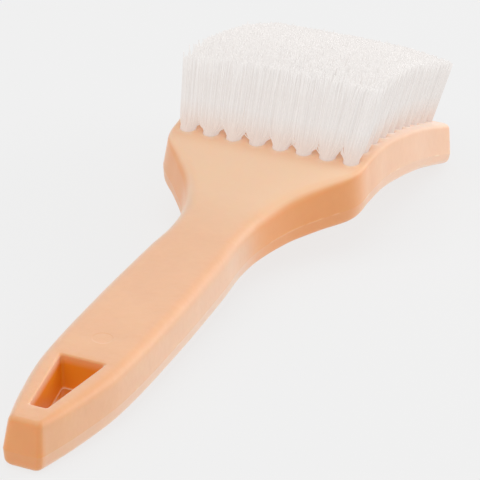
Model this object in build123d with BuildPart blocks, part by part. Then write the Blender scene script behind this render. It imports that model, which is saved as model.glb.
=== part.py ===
"""Short-handled scrub brush: a moulded block with a hang hole, nylon tufts, and the wire anchors that hold them."""

import math
import os

from build123d import *

os.makedirs("parts", exist_ok=True)

# The brush lies on its back. X runs from the handle's end to the head, Y to the left, and Z up, the way the
# bristles point. Lengths are millimetres and angles are degrees.
LENGTH = 248.0

# The plan outline at the parting line: how far from the handle's end, and the half width there.
OUTLINE = [
    (0.0, 5.3),
    (15.0, 9.2),
    (35.0, 12.5),
    (70.0, 13.4),
    (104.0, 12.8),
    (118.0, 12.1),
    (130.0, 13.2),
    (142.0, 17.6),
    (151.0, 24.2),
    (160.0, 31.4),
    (170.0, 32.8),
    (185.0, 33.2),
    (205.0, 34.0),
    (225.0, 34.6),
    (248.0, 36.2),
]
HEAD_CORNER_RADIUS = 5.0

# The side view: how far from the handle's end, and the height of the top face. The handle is straight, the neck
# ramps up to the first tufts, and the head slopes down to its far end.
TOP_FACE = [
    (0.0, 14.1),
    (56.0, 16.6),
    (112.0, 19.4),
    (127.0, 20.6),
    (140.0, 22.7),
    (152.0, 25.7),
    (162.0, 27.9),
    (171.0, 29.3),
    (181.0, 29.4),
    (195.0, 27.6),
    (215.0, 23.3),
    (248.0, 13.8),
]
HANDLE_TILT = 2.6
HEAD_TILT = 14.5

# The wall: how far from the handle's end, and how far the parting line lies under the top face there, the back
# under the parting line, and the radius of the top edge.
UPPER_WALL = [(0.0, 9.1), (118.0, 9.1), (160.0, 10.0), (248.0, 10.0)]
LOWER_WALL = [(0.0, 5.0), (118.0, 5.0), (160.0, 5.2), (248.0, 3.8)]
TOP_EDGE = [
    (0.0, 1.6),
    (8.0, 2.4),
    (20.0, 3.0),
    (50.0, 3.5),
    (112.0, 3.7),
    (140.0, 4.2),
    (151.0, 3.4),
    (163.0, 1.7),
    (248.0, 1.7),
]
BACK_EDGE = 2.4
DRAFT = 7.0
SECTIONS = [
    (0.0, 100.0, 5),
    (100.0, 112.0, 1),
    (112.0, 164.0, 9),
    (164.0, 248.0, 8),
]

# The hang hole: a trapezoid through the handle, widening towards the head, drafted from the parting line.
HOLE_NEAR_END = 10.3
HOLE_FAR_END = 34.5
HOLE_NEAR_HALF_WIDTH = 1.5
HOLE_FAR_HALF_WIDTH = 5.2
HOLE_CORNER_RADIUS = 0.9

# The tufts stand in straight rows across the head, in blind holes square to its sloping face.
TUFTS_ACROSS = 8
ROWS = 10
PITCH_ACROSS = 7.6
PITCH_ALONG = 8.3
FIRST_ROW = 167.0
HOLE_RADIUS = 2.6
HOLE_DEPTH = 10.5
TUFT_CLEARANCE = 0.02
TUFT_FLOOR_GAP = 0.2
TUFT_COLLAR = 1.2
TUFT_TIP_RADIUS = 3.6
TRIM_FIRST_ROW = 24.0
TRIM_LAST_ROW = 21.0

# The anchor: a short piece of flat wire pressed across each hole, with the filaments folded under it.
ANCHOR_LENGTH = 5.1
ANCHOR_HEIGHT = 1.8
ANCHOR_THICKNESS = 0.4
ANCHOR_LIFT = 1.4


def through(stations, distance):
    """A smooth curve through the stations."""
    last = len(stations) - 1
    slopes = []
    for i in range(last + 1):
        (x0, y0), (x1, y1) = stations[max(i - 1, 0)], stations[min(i + 1, last)]
        slopes.append((y1 - y0) / (x1 - x0))
    i = max(k for k in range(last) if k == 0 or stations[k][0] <= distance)
    (x0, y0), (x1, y1) = stations[i], stations[i + 1]
    span = x1 - x0
    rise = y1 - y0
    t = (distance - x0) / span
    cubic = (slopes[i] + slopes[i + 1]) * span - 2 * rise
    square = 3 * rise - (2 * slopes[i] + slopes[i + 1]) * span
    return y0 + t * (slopes[i] * span + t * (square + t * cubic))


def place(distance):
    """X of a distance from the handle's end: the origin is under the middle of the brush, tufts included."""
    lean = math.radians(HEAD_TILT)
    last_row = FIRST_ROW + (ROWS - 1) * PITCH_ALONG
    tip = last_row + TRIM_LAST_ROW * math.sin(lean) + TUFT_TIP_RADIUS * math.cos(lean)
    return distance - max(LENGTH, tip) / 2


def section_corners(distance):
    """The cross-section's corners, across and up: widest at the parting line, drafted above and below it."""
    upper = through(UPPER_WALL, distance)
    lower = through(LOWER_WALL, distance)
    top = through(TOP_FACE, distance)
    half = through(OUTLINE, distance)
    step = 0.5
    before = through(OUTLINE, max(distance - step, 0.0))
    after = through(OUTLINE, min(distance + step, LENGTH))
    slant = math.hypot(1.0, (after - before) / (2 * step))
    draw = math.tan(math.radians(DRAFT)) * slant
    top_half = half - upper * draw
    back_half = half - lower * draw
    right = [(top_half, top), (half, top - upper), (back_half, top - upper - lower)]
    left = [(-across, up) for across, up in reversed(right)]
    return right + left


def square_to(distance, tilt):
    """A plane on the top face with its z axis leaning by tilt towards the head."""
    lean = math.radians(tilt)
    origin = (place(distance), 0.0, through(TOP_FACE, distance))
    return Plane(origin, x_dir=(math.cos(lean), 0, -math.sin(lean)), z_dir=(math.sin(lean), 0, math.cos(lean)))


def row_plane(row):
    return square_to(FIRST_ROW + row * PITCH_ALONG, HEAD_TILT)


def section_distances():
    """Close together where the neck turns, further apart along the handle and the head."""
    distances = [start + (end - start) * i / count for start, end, count in SECTIONS for i in range(count)]
    return distances + [LENGTH]


def trim_height(row):
    return TRIM_FIRST_ROW + (TRIM_LAST_ROW - TRIM_FIRST_ROW) * row / (ROWS - 1)


def across_head():
    """The places of one row's tufts."""
    return GridLocations(PITCH_ACROSS, PITCH_ACROSS, 1, TUFTS_ACROSS)


ANCHOR_MIDDLE = ANCHOR_LIFT + ANCHOR_HEIGHT / 2 - HOLE_DEPTH
STANDING = (Align.CENTER, Align.CENTER, Align.MIN)

# The tufts' blind holes, which run on above the face so that they cut clean through it.
with BuildPart() as sockets:
    for row in range(ROWS):
        with Locations(row_plane(row).offset(-HOLE_DEPTH)):
            with across_head():
                Cylinder(HOLE_RADIUS, 1.5 * HOLE_DEPTH, align=STANDING)

# The block: sections lofted from the handle's end to the head's far end.
with BuildPart() as block:
    for distance in section_distances():
        with BuildSketch(Plane.YZ.offset(place(distance))) as section:
            with BuildLine():
                Polyline(*section_corners(distance), close=True)
            make_face()
            fillet(section.vertices().group_by(Axis.Y)[-1], through(TOP_EDGE, distance))
            fillet(section.vertices().group_by(Axis.Y)[0], BACK_EDGE)
    loft()

    # The head's far corners.
    with BuildSketch(Plane.XY.offset(-1)):
        plan_width = 2 * through(OUTLINE, LENGTH)
        with Locations((place(LENGTH / 2), 0)):
            RectangleRounded(LENGTH, plan_width, HEAD_CORNER_RADIUS)
        with Locations((place(LENGTH / 4), 0)):
            Rectangle(LENGTH / 2, plan_width)
    extrude(amount=2 * through(TOP_FACE, FIRST_ROW), mode=Mode.INTERSECT)

    # The hang hole.
    hole_middle = (HOLE_NEAR_END + HOLE_FAR_END) / 2
    hole_half = (HOLE_FAR_END - HOLE_NEAR_END) / 2
    with BuildSketch(square_to(hole_middle, -HANDLE_TILT).offset(-UPPER_WALL[0][1])) as hole:
        with BuildLine():
            near_left = (-hole_half, HOLE_NEAR_HALF_WIDTH)
            far_left = (hole_half, HOLE_FAR_HALF_WIDTH)
            far_right = (hole_half, -HOLE_FAR_HALF_WIDTH)
            near_right = (-hole_half, -HOLE_NEAR_HALF_WIDTH)
            Polyline(near_left, far_left, far_right, near_right, close=True)
        make_face()
        fillet(hole.vertices(), HOLE_CORNER_RADIUS)
    extrude(hole.sketch, amount=UPPER_WALL[0][1] + 2, taper=-DRAFT, mode=Mode.SUBTRACT)
    extrude(hole.sketch, amount=-LOWER_WALL[0][1] - 2, taper=-DRAFT, mode=Mode.SUBTRACT)

    add(sockets.part, mode=Mode.SUBTRACT)
block.part.label = "block"
export_step(block.part, "parts/block.step")

# Tufts and their anchors, a node of each for every row. A tuft fills its hole, straddles its anchor and opens
# out towards its tip. An anchor lies across its hole.
for row in range(ROWS):
    radius = HOLE_RADIUS - TUFT_CLEARANCE
    floor = TUFT_FLOOR_GAP - HOLE_DEPTH
    with BuildPart(row_plane(row)) as tufts:
        with across_head():
            with Locations((0, 0, floor)):
                Cylinder(radius, TUFT_COLLAR - floor, align=STANDING)
            with Locations((0, 0, TUFT_COLLAR)):
                Cone(radius, TUFT_TIP_RADIUS, trim_height(row) - TUFT_COLLAR, align=STANDING)
            with Locations((0, 0, ANCHOR_MIDDLE)):
                Box(ANCHOR_LENGTH, ANCHOR_THICKNESS, ANCHOR_HEIGHT, mode=Mode.SUBTRACT)
    tufts.part.label = f"tuft_row_{row + 1}"
    export_step(tufts.part, f"parts/tuft_row_{row + 1}.step")

    with BuildPart(row_plane(row)) as anchors:
        with across_head():
            with Locations((0, 0, ANCHOR_MIDDLE)):
                Box(ANCHOR_LENGTH, ANCHOR_THICKNESS, ANCHOR_HEIGHT)
    anchors.part.label = f"anchor_row_{row + 1}"
    export_step(anchors.part, f"parts/anchor_row_{row + 1}.step")
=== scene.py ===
"""The looks of the scrub brush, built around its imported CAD."""

import math

import bpy
import numpy as np
from mathutils import Matrix, Vector
from mathutils.geometry import delaunay_2d_cdt


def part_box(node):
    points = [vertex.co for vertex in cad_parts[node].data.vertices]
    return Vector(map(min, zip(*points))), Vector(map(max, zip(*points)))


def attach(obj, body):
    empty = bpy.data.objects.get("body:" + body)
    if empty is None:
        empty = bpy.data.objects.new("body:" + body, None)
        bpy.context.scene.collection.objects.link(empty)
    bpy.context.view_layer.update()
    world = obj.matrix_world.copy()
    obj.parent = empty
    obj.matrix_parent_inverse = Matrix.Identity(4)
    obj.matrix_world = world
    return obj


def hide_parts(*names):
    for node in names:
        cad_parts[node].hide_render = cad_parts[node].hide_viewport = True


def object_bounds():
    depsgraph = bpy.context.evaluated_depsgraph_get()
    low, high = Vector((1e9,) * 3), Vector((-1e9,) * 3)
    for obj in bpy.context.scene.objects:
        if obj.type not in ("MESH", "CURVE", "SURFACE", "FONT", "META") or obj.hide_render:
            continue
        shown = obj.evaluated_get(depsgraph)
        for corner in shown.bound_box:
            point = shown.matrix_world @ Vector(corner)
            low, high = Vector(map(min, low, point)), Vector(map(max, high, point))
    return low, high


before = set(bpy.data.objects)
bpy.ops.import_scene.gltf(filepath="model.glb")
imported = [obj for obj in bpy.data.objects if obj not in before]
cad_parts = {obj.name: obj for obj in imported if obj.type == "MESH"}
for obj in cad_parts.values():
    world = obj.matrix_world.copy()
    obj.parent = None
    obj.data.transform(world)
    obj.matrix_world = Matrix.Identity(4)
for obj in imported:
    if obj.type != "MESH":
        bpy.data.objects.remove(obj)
cad_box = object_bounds()
MM = 0.001

# The block, as in the CAD. Lengths are millimetres, and distances are from the handle's end.
LENGTH = 248.0
# How far from the handle's end, and the half width there.
OUTLINE = [
    (0.0, 5.3),
    (15.0, 9.2),
    (35.0, 12.5),
    (70.0, 13.4),
    (104.0, 12.8),
    (118.0, 12.1),
    (130.0, 13.2),
    (142.0, 17.6),
    (151.0, 24.2),
    (160.0, 31.4),
    (170.0, 32.8),
    (185.0, 33.2),
    (205.0, 34.0),
    (225.0, 34.6),
    (248.0, 36.2),
]
# How far from the handle's end, and the height of the top face there.
TOP_FACE = [
    (0.0, 14.1),
    (56.0, 16.6),
    (112.0, 19.4),
    (127.0, 20.6),
    (140.0, 22.7),
    (152.0, 25.7),
    (162.0, 27.9),
    (171.0, 29.3),
    (181.0, 29.4),
    (195.0, 27.6),
    (215.0, 23.3),
    (248.0, 13.8),
]
# How far from the handle's end, and how far the parting line lies under the top face, and the back under it.
UPPER_WALL = [(0.0, 9.1), (118.0, 9.1), (160.0, 10.0), (248.0, 10.0)]
LOWER_WALL = [(0.0, 5.0), (118.0, 5.0), (160.0, 5.2), (248.0, 3.8)]
DRAFT = math.radians(7.0)
END_CORNER_RADIUS = 1.8
HEAD_CORNER_RADIUS = 5.0
# How far from the handle's end, and the radius of the top edge there.
TOP_EDGE = [
    (0.0, 1.6),
    (8.0, 2.4),
    (20.0, 3.0),
    (50.0, 3.5),
    (112.0, 3.7),
    (140.0, 4.2),
    (151.0, 3.4),
    (163.0, 1.7),
    (248.0, 1.7),
]
BACK_EDGE = 2.4

# The hang hole: how far from the handle's end, and the half width there.
HOLE = [(10.3, 1.5), (34.5, 5.2)]
HOLE_CORNER_RADIUS = 0.9
HOLE_RIM = 0.7
# How proud the flash stands at the parting line: round the hole, along the outside, and how much more a speck
# of it may stand out.
HOLE_FLASH = 0.38
OUTER_FLASH = 0.01
SPECK_FLASH = 0.3
# The flash's rings lie within this height of the parting line.
FLASH_REACH = 0.15
# Random noise above this level makes a speck. Its waves are this many points of the outline long.
SPECK_LEVEL = 0.58
SPECK_WAVES = (3, 9)
SPECK_SEED = 7
# How far from the handle's end the mark of an ejector pin lies.
PIN_MARK = 47.8

# How finely the block is meshed: the spacing of points along its sides and ends, and over its two faces.
SIDE_SPACING = 1.1
END_SPACING = 0.8
TOP_SPACING = 1.8
BACK_SPACING = 2.2
END_CORNER_POINTS = 9
HEAD_CORNER_POINTS = 15
HOLE_CORNER_POINTS = 7
# How far along a side the rounding of its corner still draws its points.
CORNER_REACH = 15.0
# How many steps round off a wall's top and back edges.
OUTER_STEPS = 7
HOLE_STEPS = 4
# Rings of points down a wall: as shares of the upper wall, round the parting line as a depth and the share of
# the flash there, and as shares of the lower wall.
UPPER_SHARES = (0.25, 0.5, 0.75)
PARTING_RINGS = ((-0.55, 0.0), (-0.28, 0.0), (-0.1, 0.8), (0.0, 1.0), (0.12, 0.7), (0.3, 0.0), (0.55, 0.0))
LOWER_SHARES = (0.35, 0.7)
LOWER_START = 0.3

HEAD_TILT = math.radians(14.5)
TUFTS_ACROSS = 8
ROWS = 10
PITCH_ACROSS = 7.6
PITCH_ALONG = 8.3
FIRST_ROW = 167.0
SOCKET_RADIUS = 2.6
SOCKET_DEPTH = 10.5
SOCKET_SIDES = 24
# A socket's mouth: how much wider each ring is than the socket, and how far under the face.
SOCKET_MOUTH = [(0.15, 0.0), (0.06, 0.06), (0.0, 0.3)]
# The last row is a little longer here than in the CAD, because its outer filaments are cut back.
TRIM_FIRST_ROW = 24.0
TRIM_LAST_ROW = 22.4

# The handle's end lies at the frame's lowest X.
END_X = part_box("block")[0].x / MM


def through(stations, distance):
    """A smooth curve through the stations, for one distance or an array of them."""
    x, y = np.array(stations, float).T
    slopes = np.empty_like(y)
    slopes[1:-1] = (y[2:] - y[:-2]) / (x[2:] - x[:-2])
    slopes[0] = (y[1] - y[0]) / (x[1] - x[0])
    slopes[-1] = (y[-1] - y[-2]) / (x[-1] - x[-2])
    i = np.clip(np.searchsorted(x, distance, side="right") - 1, 0, len(x) - 2)
    span = x[i + 1] - x[i]
    rise = y[i + 1] - y[i]
    t = (distance - x[i]) / span
    cubic = (slopes[i] + slopes[i + 1]) * span - 2 * rise
    square = 3 * rise - (2 * slopes[i] + slopes[i + 1]) * span
    return y[i] + t * (slopes[i] * span + t * (square + t * cubic))


def smoothstep(low, high, value):
    """Rises smoothly from 0 at low to 1 at high, or falls if high is the lower of the two."""
    t = np.clip((value - low) / (high - low), 0.0, 1.0)
    return t * t * (3 - 2 * t)


def top_height(distance):
    """The height of the top face."""
    return through(TOP_FACE, distance)


def depths(distance):
    """How far the parting line lies under the top face, and the back under the parting line."""
    return through(UPPER_WALL, distance), through(LOWER_WALL, distance)


def resample(points, step):
    """Evenly spaced points along an open line."""
    points = np.array(points, float)
    along = np.concatenate([[0], np.cumsum(np.linalg.norm(np.diff(points, axis=0), axis=1))])
    count = max(2, round(along[-1] / step) + 1)
    even = np.linspace(0, along[-1], count)
    return np.stack([np.interp(even, along, points[:, k]) for k in range(2)], axis=1)


def unit(vector):
    return vector / np.linalg.norm(vector)


def corner_arc(before, corner, after, radius, count):
    """The arc that rounds a corner, and the shift, per unit of inset, that keeps its radius as both sides
    move in."""
    corner = np.array(corner, float)
    into, out = unit(corner - before), unit(after - corner)
    turn = math.acos(np.clip(into @ out, -1, 1))
    reach = radius * math.tan(turn / 2)
    inward = unit(out - into)
    middle = corner + inward * radius / math.cos(turn / 2)
    start, end = corner - into * reach - middle, corner + out * reach - middle
    angle = math.atan2(start[1], start[0])
    sweep = (math.atan2(end[1], end[0]) - angle + math.pi) % (2 * math.pi) - math.pi
    angles = angle + sweep * np.linspace(0, 1, count)
    arc = middle + radius * np.stack([np.cos(angles), np.sin(angles)], axis=1)
    return arc, inward / math.cos(turn / 2)


def normals_of(loop):
    """Inward normals of a closed loop that runs clockwise, seen from above."""
    along = np.roll(loop, -1, axis=0) - np.roll(loop, 1, axis=0)
    along /= np.linalg.norm(along, axis=1)[:, None]
    return np.stack([along[:, 1], -along[:, 0]], axis=1)


def side_shifts(side, first, last, reach):
    """The shifts of a side's points, per unit of inset: square to the side, and drawn along it near the
    corners."""
    along = np.gradient(side, axis=0)
    along /= np.linalg.norm(along, axis=1)[:, None]
    shifts = np.stack([along[:, 1], -along[:, 0]], axis=1)
    run = np.concatenate([[0], np.cumsum(np.linalg.norm(np.diff(side, axis=0), axis=1))])
    for shift, k, distance in ((first, 0, run), (last, -1, run[-1] - run)):
        if shift is not None:
            drawn = (np.array(shift) @ along[k]) * np.clip(1 - distance / reach, 0, 1)
            shifts += drawn[:, None] * along
    return shifts


def plan_outline():
    """The parting line seen from above, clockwise from the middle of the handle's end, and its shifts."""
    near_corner, far_corner = (0, OUTLINE[0][1]), (LENGTH, OUTLINE[-1][1])
    near_side = (4, float(through(OUTLINE, 4.0)))
    far_side = (LENGTH - 8, float(through(OUTLINE, LENGTH - 8.0)))
    near, near_shift = corner_arc((0, 0), near_corner, near_side, END_CORNER_RADIUS, END_CORNER_POINTS)
    far, _ = corner_arc(far_side, far_corner, (LENGTH, 0), HEAD_CORNER_RADIUS, HEAD_CORNER_POINTS)
    distances = np.linspace(near[-1][0] + 0.3, far[0][0] - 0.4, 900)
    side = np.stack([distances, through(OUTLINE, distances)], axis=1)
    side = resample(np.concatenate([near[-1:], side, far[:1]]), SIDE_SPACING)
    end = resample([(0.0, 0.0), near[0]], END_SPACING)
    far_end = resample([far[-1], (LENGTH, 0.0)], SIDE_SPACING)
    half = np.concatenate([end[:-1], near, side[1:-1], far, far_end[1:]])
    half_loop = np.concatenate([half, half[1:-1][::-1] * (1, -1)])
    shifts = normals_of(half_loop)
    shifts[len(end) - 1 : len(end) - 1 + len(near)] = near_shift
    shifts[: len(end) - 1] = side_shifts(end, None, near_shift, end[-1][1] - end[0][1])[:-1]
    first = len(end) - 1 + len(near)
    shifts[first : first + len(side) - 2] = side_shifts(side, near_shift, None, CORNER_REACH)[1:-1]
    other = np.arange(len(half) - 2, 0, -1)
    shifts[len(half) :] = shifts[other] * (1, -1)
    return half_loop, shifts


def hole_outline():
    """The hang hole at the parting line, clockwise, and its shifts."""
    (near, near_half), (far, far_half) = HOLE
    corners = np.array([(near, -near_half), (near, near_half), (far, far_half), (far, -far_half)])
    arcs = []
    for i in range(4):
        before, corner, after = corners[i - 1], corners[i], corners[(i + 1) % 4]
        arcs.append(corner_arc(before, corner, after, HOLE_CORNER_RADIUS, HOLE_CORNER_POINTS))
    loop, shifts = [], []
    for i, (arc, shift) in enumerate(arcs):
        following, next_shift = arcs[(i + 1) % 4]
        side = resample([arc[-1], following[0]], END_SPACING)
        reach = np.linalg.norm(side[-1] - side[0])
        loop += [arc, side[1:-1]]
        shifts += [np.tile(shift, (len(arc), 1)), side_shifts(side, shift, next_shift, reach)[1:-1]]
    return np.concatenate(loop), np.concatenate(shifts)


class Skin:
    """Vertices and faces of the block's surface."""

    def __init__(self):
        self.points = []
        self.faces = []

    def add(self, points):
        first = len(self.points)
        self.points.extend(map(tuple, points))
        return list(range(first, first + len(points)))

    def band(self, upper, lower):
        """Faces between two closed rings with as many points each."""
        for i in range(len(upper)):
            j = (i + 1) % len(upper)
            self.faces.append((upper[i], upper[j], lower[j], lower[i]))

    def sheet(self, outer, holes, height, spacing, upward):
        """A surface over the plan inside one ring and outside the others."""
        rings = [outer, *holes]
        flat = [self.points[i][:2] for ring in rings for i in ring]
        index = [i for ring in rings for i in ring]
        edges = []
        loops = []
        first = 0
        for ring in rings:
            edges += [(first + i, first + (i + 1) % len(ring)) for i in range(len(ring))]
            loops.append(np.array(flat[first : first + len(ring)]))
            first += len(ring)
        low, high = loops[0].min(0), loops[0].max(0)
        xs = np.arange(low[0] + spacing / 2, high[0], spacing)
        ys = np.arange(low[1] + spacing / 2, high[1], spacing)
        grid = np.array([(x + (k % 2) * spacing / 2, y) for k, y in enumerate(ys) for x in xs])
        keep = clear_of(grid, loops[0], 0.45 * spacing, True)
        for loop in loops[1:]:
            keep &= clear_of(grid, loop, 0.45 * spacing, False)
        inner = grid[keep]
        new = self.add(np.column_stack([inner, height(inner[:, 0])]))
        flat += [tuple(p) for p in inner]
        index += new
        found, _, triangles, origin, _, _ = delaunay_2d_cdt([Vector(p) for p in flat], edges, [], 0, 1e-7)
        names = [index[o[0]] for o in origin]
        middles = np.array([np.mean([found[i][:] for i in t], axis=0) for t in triangles])
        inside = within(middles, loops[0])
        for loop in loops[1:]:
            inside &= ~within(middles, loop)
        for t, good in zip(triangles, inside):
            if good:
                corners = [names[i] for i in t]
                self.faces.append(tuple(corners if upward else corners[::-1]))


def within(points, loop):
    """Which points lie inside a closed loop."""
    inside = np.zeros(len(points), bool)
    px, py = points[:, 0], points[:, 1]
    for (x0, y0), (x1, y1) in zip(loop, np.roll(loop, -1, axis=0)):
        if y0 != y1:
            crosses = (y0 > py) != (y1 > py)
            inside ^= crosses & (px < (x1 - x0) * (py - y0) / (y1 - y0) + x0)
    return inside


def clear_of(points, loop, gap, wanted):
    """Which points lie on the wanted side of a loop and at least gap away from it."""
    good = within(points, loop) == wanted
    low, high = loop.min(0) - gap, loop.max(0) + gap
    for i in np.nonzero(good)[0]:
        p = points[i]
        if (p > low).all() and (p < high).all():
            good[i] = np.min(np.sum((loop - p) ** 2, axis=1)) > gap * gap
    return good


def wall_rings(skin, outline, shifts, outward, radius_top, radius_back, flash, steps):
    """Adds a wall with its parting line, from the top face's edge down to the back's. outward is 1 for the
    outside of the block and -1 for the wall of a hole. Returns the first and last ring."""
    upper, lower = depths(outline[:, 0])
    radii = radius_top(outline[:, 0])
    rings = []

    def ring(inset, place):
        plan = outline + outward * shifts * np.asarray(inset)[:, None]
        rings.append(skin.add(np.column_stack([plan, place(plan[:, 0])])))

    for k in range(steps + 1):
        angle = math.pi / 2 + (DRAFT - math.pi / 2) * k / steps
        middle = (upper - radii) * math.tan(DRAFT) + radii / math.cos(DRAFT)
        depth = radii * (1 - math.sin(angle))
        ring(middle - radii * math.cos(angle), lambda x, depth=depth: top_height(x) - depth)
    start = radii * (1 - math.sin(DRAFT))
    for share in UPPER_SHARES:
        depth = start + (upper - start) * share
        ring((upper - depth) * math.tan(DRAFT), lambda x, depth=depth: top_height(x) - depth)
    for offset, proud in PARTING_RINGS:
        inset = abs(offset) * math.tan(DRAFT) - proud * flash
        ring(inset, lambda x, offset=offset: top_height(x) - upper - offset)
    middle = (lower - radius_back) * math.tan(DRAFT) + radius_back / math.cos(DRAFT)
    end = lower - radius_back * (1 - math.sin(DRAFT))
    for share in LOWER_SHARES:
        depth = LOWER_START + (end - LOWER_START) * share
        ring(depth * math.tan(DRAFT), lambda x, depth=depth: top_height(x) - upper - depth)
    for k in range(steps + 1):
        angle = DRAFT + (math.pi / 2 - DRAFT) * k / steps
        up = radius_back * (1 - math.sin(angle))
        ring(middle - radius_back * math.cos(angle), lambda x, up=up: top_height(x) - upper - lower + up)
    for above, below in zip(rings, rings[1:]):
        if outward > 0:
            skin.band(above, below)
        else:
            skin.band(above[::-1], below[::-1])
    return rings[0], rings[-1]


def row_frame(row):
    """A row's place on the head's top face, and the directions along the head, across it and up its tufts."""
    distance = FIRST_ROW + row * PITCH_ALONG
    place = np.array([distance, 0.0, float(top_height(distance))])
    along = np.array([math.cos(HEAD_TILT), 0.0, -math.sin(HEAD_TILT)])
    up = np.array([math.sin(HEAD_TILT), 0.0, math.cos(HEAD_TILT)])
    return place, along, np.array([0.0, 1.0, 0.0]), up


def trim_of(row):
    """The length of a row's tufts, and how fast that changes along the head within the row, so that the tips
    make one smooth surface."""
    trims = [TRIM_FIRST_ROW + (TRIM_LAST_ROW - TRIM_FIRST_ROW) * r / (ROWS - 1) for r in range(ROWS)]
    tips = []
    for r in (max(row - 1, 0), min(row + 1, ROWS - 1)):
        place, along, _, up = row_frame(r)
        tips.append(place + trims[r] * up)
    step = tips[1] - tips[0]
    return trims[row], (step @ up) / (step @ along)


def tuft_places():
    """Where a row's tufts stand across the head."""
    return [(i - (TUFTS_ACROSS - 1) / 2) * PITCH_ACROSS for i in range(TUFTS_ACROSS)]


def socket(skin, centre, along, across, up):
    """A blind hole with a softened mouth. Returns the ring on the top face."""
    angles = np.linspace(0, 2 * math.pi, SOCKET_SIDES, endpoint=False)[::-1]
    direction = np.cos(angles)[:, None] * along + np.sin(angles)[:, None] * across

    def on_face(radius):
        points = centre + radius * direction
        for _ in range(4):
            points = points + (top_height(points[:, 0]) - points[:, 2])[:, None] * up
        return points

    rings = [skin.add(on_face(SOCKET_RADIUS + wider) - under * up) for wider, under in SOCKET_MOUTH]
    for depth in (0.35, 0.7, 1.0):
        rings.append(skin.add(centre + SOCKET_RADIUS * direction - SOCKET_DEPTH * depth * up))
    for above, below in zip(rings, rings[1:]):
        skin.band(above[::-1], below[::-1])
    skin.faces.append(tuple(rings[-1]))
    return rings[0]


def random_line(rng, count, waves):
    """Smooth seeded noise round a closed line, from 0 to 1."""
    line = np.zeros(count)
    for wave in waves:
        knots = rng.random(max(3, count // wave))
        places = np.arange(count) / count * len(knots)
        line += np.interp(places, np.arange(len(knots) + 1), np.append(knots, knots[0]))
    return line / len(waves)


def back_height(distance):
    """The height of the back."""
    upper, lower = depths(distance)
    return top_height(distance) - upper - lower


def paint(mesh, name, values):
    """Gives the mesh an attribute with one value for each vertex."""
    values = np.asarray(values, np.float32)
    mesh.attributes.new(name, "FLOAT", "POINT").data.foreach_set("value", values)


def paint_block(mesh, points, outer_flash, first_inside, last_inside):
    """Marks where painted shade deepens the block's colour and takes away its sheen, and where a painted veil
    and the flash make it paler. The outside's points come first, in rings as long as outer_flash, and the
    hang hole's lie from first_inside to last_inside."""
    distance, height = points[:, 0] - END_X, points[:, 2]
    inside = slice(first_inside, last_inside)
    outside = np.arange(first_inside)
    facing_up = np.array([vertex.normal.z for vertex in mesh.vertices])
    upper, _ = depths(distance)
    below = top_height(distance) - height
    on_flash = np.abs(below - upper) < FLASH_REACH

    # Painted shade: a deep orange in the hole, standing in for light that bounces about inside it, but not on
    # its flash.
    painted_hole_shade = np.zeros(len(points))
    painted_hole_shade[inside] = np.where(on_flash, 0.1, smoothstep(0.2, 1.8, below))[inside]

    # Painted shade on the walls of the neck and head, on the handle's end face and in the hole: less sheen
    # and a redder colour, standing in for the shade of surfaces that face away from the lights.
    wall = 0.6 * (1 - smoothstep(0.3, 0.8, facing_up))
    fading_at_head = 0.25 + 0.75 * smoothstep(174, 148, distance)
    neck_and_head = smoothstep(116, 136, distance) * fading_at_head
    end_face = smoothstep(2.5, 0.5, distance)
    painted_shade = wall * np.maximum(neck_and_head, end_face)
    painted_shade[inside] = painted_hole_shade[inside]

    # Paler on the neck's top face, less so on the head's: a painted veil of reflected light. Paler on the
    # flash too.
    pale = smoothstep(108, 148, distance) * smoothstep(0.35, 0.75, facing_up)
    pale = pale * (1 - 0.7 * smoothstep(158, 166, distance))
    pale[inside] = np.where(on_flash[inside], 1.0, 0.0)
    specks = on_flash[outside] & (outer_flash[outside % len(outer_flash)] > 0.04)
    pale[outside] = np.maximum(pale[outside], 0.8 * specks)

    paint(mesh, "painted_hole_shade", painted_hole_shade)
    paint(mesh, "painted_shade", painted_shade)
    paint(mesh, "pale", pale)


def build_block():
    """The block with its hang hole and sockets, in one closed skin."""
    rng = np.random.default_rng(SPECK_SEED)
    skin = Skin()
    outline, shifts = plan_outline()
    speck = random_line(rng, len(outline), SPECK_WAVES)
    outer_flash = OUTER_FLASH + SPECK_FLASH * np.clip(speck - SPECK_LEVEL, 0, 1)
    outer_top, outer_back = wall_rings(
        skin, outline, shifts, 1, lambda x: through(TOP_EDGE, x), BACK_EDGE, outer_flash, OUTER_STEPS
    )
    first_inside = len(skin.points)
    hang, hang_shifts = hole_outline()
    hang_flash = np.full(len(hang), HOLE_FLASH)
    hole_top, hole_back = wall_rings(
        skin, hang, hang_shifts, -1, lambda x: np.full(len(x), HOLE_RIM), HOLE_RIM, hang_flash, HOLE_STEPS
    )
    last_inside = len(skin.points)
    mouths = []
    for row in range(ROWS):
        place, along, across, up = row_frame(row)
        mouths += [socket(skin, place + y * across, along, across, up) for y in tuft_places()]
    skin.sheet(outer_top, [hole_top, *mouths], top_height, TOP_SPACING, True)
    skin.sheet(outer_back, [hole_back], back_height, BACK_SPACING, False)
    points = np.array(skin.points)
    points[:, 0] += END_X
    mesh = bpy.data.meshes.new("block_skin")
    mesh.from_pydata((points * MM).tolist(), [], skin.faces)
    mesh.validate()
    mesh.shade_smooth()
    paint_block(mesh, points, outer_flash, first_inside, last_inside)
    piece = bpy.data.objects.new("block_skin", mesh)
    bpy.context.scene.collection.objects.link(piece)
    return piece


FILAMENT_RADIUS = 0.17
FILAMENT_RADIUS_JITTER = 0.06
FILAMENT_SIDES = 5
# The gaps between a socket's filaments, and between them and its wall.
FILAMENT_GAP = 0.01
SOCKET_GAP = 0.04
# A row's random numbers start from this seed and its own number.
ROW_SEED = 100
# How far the outermost filaments lean out, as a slope.
LEAN_LEFT, LEAN_RIGHT, LEAN_NEAR, LEAN_FAR = 0.1, 0.17, 0.0, 0.12
# How far filaments open out on a side without a neighbouring tuft, as a share of how far they do elsewhere.
FREE_NEAR, FREE_FAR, FREE_SIDE = 0.68, 0.8, 0.5
FAN_JITTER = 0.6
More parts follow.
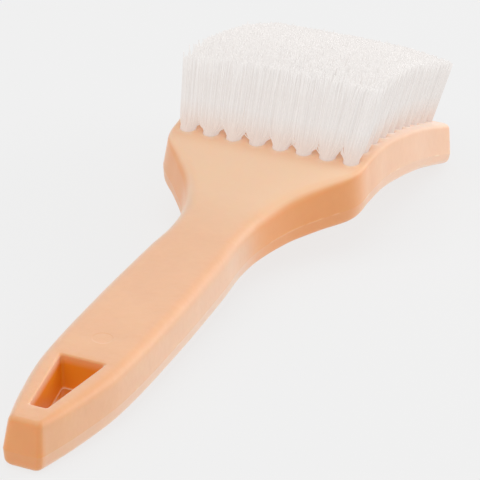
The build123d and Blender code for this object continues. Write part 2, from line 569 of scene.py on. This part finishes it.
# How much the lean varies from one filament to the next, and from one tuft to the next.
FILAMENT_LEAN_JITTER, TUFT_LEAN_JITTER = 0.016, 0.012
# Strays at the left of the first rows: their share, and how far they lean out at least and at most.
STRAY_ROWS = 2
STRAY_SHARE = 0.05
STRAY_LEAN = ((-0.03, 0.03), (0.0, 0.12))
# The height at which a tuft has opened out, and how much that varies by tuft and by filament.
SPREAD_HEIGHT, SPREAD_BY_TUFT, SPREAD_BY_FILAMENT = 5.0, 0.8, 1.6
SPREAD_LOW, SPREAD_HIGH = 2.0, 9.0
LENGTH_JITTER = 0.2
# A few filaments are up to this much too short, and this share of them is up to 1 mm too long.
SHORT_FILAMENT = 2.0
LONG_FILAMENT_SHARE = 0.01
# How far a filament bows out half way, and the length that the bow spans.
BEND_JITTER = 0.3
BEND_SPAN = 24
# How far up a tuft the filaments get a painted orange tint, standing in for light bounced from the block.
BOUNCE_TINT_HEIGHT = 9.0
# How much shorter the outermost filaments are than those in the middle, in the first row and in the last.
TRIM_DROP_LEFT = (3.2, 0.4)
TRIM_DROP_RIGHT = (1.5, 3.0)
# Heights along a filament from the face of the block. None stands for its tip.
FILAMENT_RINGS = [-10.2, 0.0, 1.5, 3.2, 5.2, 9.0, 16.0, None]


def packed_disc(radius, pitch, rng):
    """Filament places in one hole: a loose hexagonal packing."""
    places = []
    turn = rng.random() * math.pi
    reach = int(radius / pitch) + 2
    for i in range(-reach, reach + 1):
        for j in range(-reach, reach + 1):
            x = pitch * (i + 0.5 * j)
            y = pitch * j * math.sqrt(3) / 2
            if math.hypot(x, y) <= radius:
                turned_x = x * math.cos(turn) - y * math.sin(turn)
                turned_y = x * math.sin(turn) + y * math.cos(turn)
                places.append((turned_x, turned_y))
    return np.array(places)


def to_square(disc):
    """Moves points of the unit disc onto the unit square, edge to edge."""
    radius = np.linalg.norm(disc, axis=1)
    largest = np.maximum(np.abs(disc).max(axis=1), 1e-9)
    return disc * (radius / largest)[:, None]


def build_row(row):
    """One row's filaments in one piece."""
    rng = np.random.default_rng(ROW_SEED + row)
    place, along, across, up = row_frame(row)
    trim, trim_slope = trim_of(row)
    reach = SOCKET_RADIUS - SOCKET_GAP - FILAMENT_RADIUS
    edge = (TUFTS_ACROSS - 1) / 2
    roots, fans, leans, spreads = [], [], [], []
    for y in tuft_places():
        disc = packed_disc(reach, 2 * FILAMENT_RADIUS + FILAMENT_GAP, rng)
        count = len(disc)
        # Above its hole a tuft opens out until it meets its neighbours, and less where it has none.
        cell = to_square(disc / reach) * (PITCH_ALONG / 2, PITCH_ACROSS / 2)
        free = np.ones((count, 2))
        if row == 0:
            free[cell[:, 0] < 0, 0] = FREE_NEAR
        if row == ROWS - 1:
            free[cell[:, 0] > 0, 0] = FREE_FAR
        if abs(y) > PITCH_ACROSS * (edge - 0.5):
            free[cell[:, 1] * y > 0, 1] = FREE_SIDE
        fan = cell * free + rng.normal(0, FAN_JITTER, (count, 2)) * free
        lean = rng.normal(0, FILAMENT_LEAN_JITTER, (count, 2)) + rng.normal(0, TUFT_LEAN_JITTER, 2)
        side = (y + fan[:, 1]) / (PITCH_ACROSS * (edge + 0.5))
        lean[:, 1] += np.where(side > 0, LEAN_LEFT, LEAN_RIGHT) * side * np.abs(side)
        end = (row - (ROWS - 1) / 2) / ((ROWS - 1) / 2)
        lean[:, 0] += np.where(end > 0, LEAN_FAR, LEAN_NEAR) * end * abs(end)
        if row < STRAY_ROWS and y > PITCH_ACROSS * (edge - 0.5):
            stray = rng.random(count) < STRAY_SHARE
            lean[stray] += rng.uniform(*STRAY_LEAN, (stray.sum(), 2))
        roots.append(disc + (0, y))
        fans.append(fan + (0, y))
        leans.append(lean)
        spread = rng.normal(SPREAD_HEIGHT, SPREAD_BY_TUFT) + rng.normal(0, SPREAD_BY_FILAMENT, count)
        spreads.append(np.clip(spread, SPREAD_LOW, SPREAD_HIGH))
    roots, fans, leans, spreads = (np.concatenate(x) for x in (roots, fans, leans, spreads))
    count = len(roots)
    lengths = trim + trim_slope * (fans[:, 0] + trim * leans[:, 0])
    share = fans[:, 1] / (PITCH_ACROSS * (edge + 0.5))
    drop_left = np.interp(row, (0, ROWS - 1), TRIM_DROP_LEFT)
    drop_right = np.interp(row, (0, ROWS - 1), TRIM_DROP_RIGHT)
    lengths -= np.where(share > 0, drop_left, drop_right) * np.abs(share) ** 3
    lengths += rng.normal(0, LENGTH_JITTER, count) - SHORT_FILAMENT * rng.random(count) ** 7
    lengths += (rng.random(count) < LONG_FILAMENT_SHARE) * rng.random(count)
    bend = rng.normal(0, BEND_JITTER, (count, 2))
    centre_lines = []
    for height in FILAMENT_RINGS:
        h = lengths if height is None else np.full(count, height)
        t = np.clip(h / spreads, 0, 1)[:, None]
        plan = roots + t * (1.6 - 0.6 * t) * (fans - roots) + np.maximum(h, 0)[:, None] * leans
        plan = plan + bend * np.sin(np.clip(h / BEND_SPAN, 0, 1) * math.pi)[:, None]
        centre_lines.append(place + plan[:, :1] * along + plan[:, 1:] * across + h[:, None] * up)
    lines = np.stack(centre_lines, axis=1)
    name = f"filaments_row_{row + 1}"
    radii = FILAMENT_RADIUS * (1 + FILAMENT_RADIUS_JITTER * rng.normal(0, 1, count))
    piece = filaments(name, lines, radii)
    heights = np.array([trim if height is None else height for height in FILAMENT_RINGS])
    # Painted bounce light: an orange tint at the roots that fades out up the tuft.
    painted_bounce_tint = 1 - smoothstep(0, BOUNCE_TINT_HEIGHT, heights)
    paint(piece.data, "painted_bounce_tint", np.tile(np.repeat(painted_bounce_tint, FILAMENT_SIDES), count))
    return piece


def filaments(name, lines, radii):
    """A mesh of round filaments along their centre lines, closed at both ends."""
    count, rings, _ = lines.shape
    sides = FILAMENT_SIDES
    direction = np.gradient(lines, axis=1)
    direction /= np.linalg.norm(direction, axis=2)[..., None]
    across = np.cross(direction, (0.0, 1.0, 0.0))
    across /= np.linalg.norm(across, axis=2)[..., None]
    other = np.cross(direction, across)
    angles = np.arange(sides) * 2 * math.pi / sides
    circle = (
        np.cos(angles)[None, None, :, None] * across[:, :, None, :]
        + np.sin(angles)[None, None, :, None] * other[:, :, None, :]
    )
    points = lines[:, :, None, :] + circle * radii[:, None, None, None]
    points = points.reshape(-1, 3)
    points[:, 0] += END_X
    i = np.arange(rings - 1)[:, None] * sides
    a = np.arange(sides)[None, :]
    b = (a + 1) % sides
    quad = np.stack([i + a, i + sides + a, i + sides + b, i + b], axis=-1).reshape(-1, 4)
    first = (np.arange(count) * rings * sides)[:, None, None]
    quads = (quad[None] + first).reshape(-1, 4)
    low = np.arange(sides)
    high = (np.arange(sides) + (rings - 1) * sides)[::-1]
    caps = (np.stack([low, high])[None] + first).reshape(-1, sides)
    mesh = bpy.data.meshes.new(name)
    mesh.vertices.add(len(points))
    mesh.vertices.foreach_set("co", (points * MM).astype(np.float32).ravel())
    loops = np.concatenate([quads.ravel(), caps.ravel()])
    totals = np.concatenate([np.full(len(quads), 4), np.full(len(caps), sides)])
    starts = np.concatenate([[0], np.cumsum(totals)[:-1]])
    mesh.loops.add(len(loops))
    mesh.loops.foreach_set("vertex_index", loops.astype(np.int32))
    mesh.polygons.add(len(totals))
    mesh.polygons.foreach_set("loop_start", starts.astype(np.int32))
    mesh.update(calc_edges=True)
    mesh.shade_smooth()
    mesh.polygons.foreach_set("use_smooth", totals == 4)
    mesh.validate()
    piece = bpy.data.objects.new(name, mesh)
    bpy.context.scene.collection.objects.link(piece)
    return piece


class Nodes:
    """A material with its Principled shader, and short ways to add nodes to it."""

    def __init__(self, name):
        self.material = bpy.data.materials.new(name)
        self.material.use_nodes = True
        self.tree = self.material.node_tree
        self.shader = self.tree.nodes["Principled BSDF"]

    def set(self, values):
        """Sets the shader's inputs."""
        for key, value in values.items():
            self.shader.inputs[key].default_value = value

    def add(self, kind, links=None, **settings):
        """A new node with its inputs linked and its properties or other inputs set."""
        node = self.tree.nodes.new(kind)
        for key, value in settings.items():
            if hasattr(node, key):
                setattr(node, key, value)
            else:
                node.inputs[key].default_value = value
        for key, source in (links or {}).items():
            self.tree.links.new(source, node.inputs[key])
        return node

    def blend(self, factor, source, colour):
        """From the source colour to the given colour by the factor."""
        node = self.add("ShaderNodeMix", {"Factor": factor}, data_type="RGBA")
        first, second = (socket for socket in node.inputs if socket.type == "RGBA")
        self.tree.links.new(source, first)
        second.default_value = colour
        return next(socket for socket in node.outputs if socket.type == "RGBA")

    def link(self, source, socket):
        """Links a node's output to one of the shader's inputs."""
        self.tree.links.new(source, self.shader.inputs[socket])


def plastic():
    """Peach moulded plastic, waxy and faintly mottled. Painted shade makes it a deeper orange with less sheen
    on walls that face away from the lights and in the hang hole, and a painted veil of reflected light makes
    the neck's and head's top paler."""
    n = Nodes("peach_plastic")
    n.set({
        "Subsurface Weight": 0.4,
        "Subsurface Radius": (1.0, 0.35, 0.12),
        "Subsurface Scale": 0.004,
        "IOR": 1.6,
        "Specular IOR Level": 0.5,
        "Sheen Roughness": 0.6,
        "Sheen Tint": (1.0, 0.97, 0.93, 1.0),
    })
    place = n.add("ShaderNodeTexCoord").outputs["Object"]
    broad = n.add("ShaderNodeTexNoise", {"Vector": place}, Scale=90.0, Detail=3.0, Roughness=0.6)
    mottle = n.add("ShaderNodeTexNoise", {"Vector": place}, Scale=420.0, Detail=4.0, Roughness=0.65)
    both = {"A": broad.outputs["Fac"], "B": mottle.outputs["Fac"]}
    mix = n.add("ShaderNodeMix", both, data_type="FLOAT", Factor=0.35)
    ramp = n.add("ShaderNodeValToRGB", {"Fac": mix.outputs["Result"]})
    stops = ramp.color_ramp.elements
    stops[0].position, stops[0].color = 0.38, (0.72, 0.29, 0.065, 1)
    stops[1].position, stops[1].color = 0.62, (0.76, 0.325, 0.085, 1)
    # Painted shade in the hang hole.
    painted_hole_shade = n.add("ShaderNodeAttribute", attribute_name="painted_hole_shade").outputs["Fac"]
    # Painted veil of reflected light on the neck's and head's top face, and paler flash.
    pale = n.add("ShaderNodeAttribute", attribute_name="pale").outputs["Fac"]
    # Painted shade on walls that face away from the lights, and in the hole.
    painted_shade = n.add("ShaderNodeAttribute", attribute_name="painted_shade").outputs["Fac"]
    paler = n.blend(pale, ramp.outputs["Color"], (0.87, 0.525, 0.29, 1))
    redder = n.blend(painted_shade, paler, (0.87, 0.335, 0.1, 1))
    n.link(n.blend(painted_hole_shade, redder, (0.82, 0.265, 0.003, 1)), "Base Color")
    # Painted shade: less sheen where the shade is painted.
    sheen = n.add("ShaderNodeMapRange", {"Value": painted_shade}, **{"To Min": 1.0, "To Max": 0.0})
    n.link(sheen.outputs["Result"], "Sheen Weight")
    spans = {"From Min": 0.3, "From Max": 0.7, "To Min": 0.44, "To Max": 0.49}
    rough = n.add("ShaderNodeMapRange", {"Value": mottle.outputs["Fac"]}, **spans)
    n.link(rough.outputs["Result"], "Roughness")
    grain = n.add("ShaderNodeTexNoise", {"Vector": place}, Scale=1500.0, Detail=2.0)
    bump = n.add("ShaderNodeBump", {"Height": grain.outputs["Fac"]}, Strength=0.02, Distance=0.0004)
    broad_bump = {"Height": broad.outputs["Fac"], "Normal": bump.outputs["Normal"]}
    swell = n.add("ShaderNodeBump", broad_bump, Strength=0.12, Distance=0.0012)
    # The round mark of an ejector pin, on the top face just past the hang hole.
    mark = (END_X + PIN_MARK) * MM, 0.0, float(top_height(PIN_MARK)) * MM
    apart = n.add("ShaderNodeVectorMath", {0: place}, operation="DISTANCE")
    apart.inputs[1].default_value = mark
    rim = {"From Min": 0.0026, "From Max": 0.003}
    dip = n.add("ShaderNodeMapRange", {"Value": apart.outputs["Value"]}, **rim)
    pin_bump = {"Height": dip.outputs["Result"], "Normal": swell.outputs["Normal"]}
    pin = n.add("ShaderNodeBump", pin_bump, Strength=0.25, Distance=0.0002)
    n.link(pin.outputs["Normal"], "Normal")
    return n.material


def nylon():
    """White nylon filament, a little different from one filament to the next. The slight glow stands for
    light that the filaments carry inside them, and the tint near their roots for light from the block."""
    n = Nodes("white_nylon")
    n.set({
        "Roughness": 0.45,
        "IOR": 1.53,
        "Emission Color": (1.0, 0.95, 0.92, 1.0),
        "Emission Strength": 0.4,
    })
    each = n.add("ShaderNodeNewGeometry").outputs["Random Per Island"]
    ramp = n.add("ShaderNodeValToRGB", {"Fac": each})
    stops = ramp.color_ramp.elements
    stops[0].position, stops[0].color = 0.0, (0.455, 0.44, 0.43, 1)
    stops[1].position, stops[1].color = 1.0, (0.495, 0.48, 0.47, 1)
    # Painted bounce light: the roots take an orange tint for light reflected from the block.
    painted_bounce_tint = n.add("ShaderNodeAttribute", attribute_name="painted_bounce_tint").outputs["Fac"]
    n.link(n.blend(painted_bounce_tint, ramp.outputs["Color"], (0.47, 0.35, 0.28, 1)), "Base Color")
    return n.material


def wire():
    """Flat steel wire with fine draw lines."""
    n = Nodes("steel_wire")
    n.set({"Metallic": 1.0, "Roughness": 0.35, "Base Color": (0.62, 0.62, 0.63, 1)})
    place = n.add("ShaderNodeTexCoord").outputs["Object"]
    stretch = n.add("ShaderNodeMapping", {"Vector": place}, Scale=(0.1, 1.0, 1.0))
    lines = n.add("ShaderNodeTexNoise", {"Vector": stretch.outputs["Vector"]}, Scale=9000.0, Detail=2.0)
    bump = n.add("ShaderNodeBump", {"Height": lines.outputs["Fac"]}, Strength=0.3, Distance=0.00002)
    n.link(bump.outputs["Normal"], "Normal")
    return n.material


def floor_material():
    """A pale floor that keeps only faint shadows."""
    n = Nodes("pale_floor")
    n.set({
        "Base Color": (0.1, 0.1, 0.1, 1),
        "Roughness": 0.9,
        "Specular IOR Level": 0.0,
        "Emission Color": (1, 1, 1, 1),
        "Emission Strength": 0.76,
    })
    return n.material


block = build_block()
block.data.materials.append(plastic())
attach(block, "root")
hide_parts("block")

white = nylon()
steel = wire()
for row in range(ROWS):
    piece = build_row(row)
    piece.data.materials.append(white)
    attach(piece, "root")
    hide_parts(f"tuft_row_{row + 1}")
    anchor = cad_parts[f"anchor_row_{row + 1}"]
    anchor.data.materials.clear()
    anchor.data.materials.append(steel)

# Floor.
floor_mesh = bpy.data.meshes.new("floor")
FLOOR_HALF = 6.0
floor_corners = [(x * FLOOR_HALF, y * FLOOR_HALF, 0) for x, y in ((-1, -1), (1, -1), (1, 1), (-1, 1))]
floor_mesh.from_pydata(floor_corners, [], [(0, 1, 2, 3)])
floor = bpy.data.objects.new("floor", floor_mesh)
floor.location.z = cad_box[0].z
bpy.context.scene.collection.objects.link(floor)
floor_mesh.materials.append(floor_material())

# Light.
world = bpy.data.worlds.new("studio")
world.use_nodes = True
background = world.node_tree.nodes["Background"]
background.inputs["Color"].default_value = (1, 1, 1, 1)
background.inputs["Strength"].default_value = 0.55
bpy.context.scene.world = world


def area_light(name, place, size, power):
    """A panel of light, in metres and watts, that faces the brush."""
    data = bpy.data.lights.new(name, "AREA")
    data.shape = "RECTANGLE"
    data.size, data.size_y = size
    data.energy = power
    lamp = bpy.data.objects.new(name, data)
    lamp.location = place
    lamp.rotation_euler = (-Vector(place)).to_track_quat("-Z", "Y").to_euler()
    bpy.context.scene.collection.objects.link(lamp)


area_light("back_panel", (1.25, -0.35, 0.5), (1.8, 0.8), 8.0)
area_light("right_panel", (0.75, -1.15, 0.6), (1.0, 0.8), 6.5)
area_light("top_panel", (-0.45, 0.2, 1.2), (1.4, 1.4), 9.0)

# Camera.
AIM = Vector((-2.24, -9.02, 16.47)) * MM
AZIMUTH, ELEVATION, ROLL = (math.radians(a) for a in (-69.66, 24.65, 3.78))
DISTANCE = 723.65 * MM
flat = math.cos(ELEVATION)
back = Vector((math.sin(AZIMUTH) * flat, -math.cos(AZIMUTH) * flat, math.sin(ELEVATION)))
level = Vector((0, 0, 1)).cross(back).normalized()
upright = back.cross(level)
right = level * math.cos(ROLL) + upright * math.sin(ROLL)
camera_data = bpy.data.cameras.new("camera")
camera_data.sensor_width = 36.0
camera_data.lens = 187.65
camera = bpy.data.objects.new("camera", camera_data)
turned = Matrix((right, back.cross(right), back)).transposed().to_4x4()
camera.matrix_world = Matrix.Translation(AIM + back * DISTANCE) @ turned
bpy.context.scene.collection.objects.link(camera)
bpy.context.scene.camera = camera
bpy.context.scene.view_settings.view_transform = "Standard"
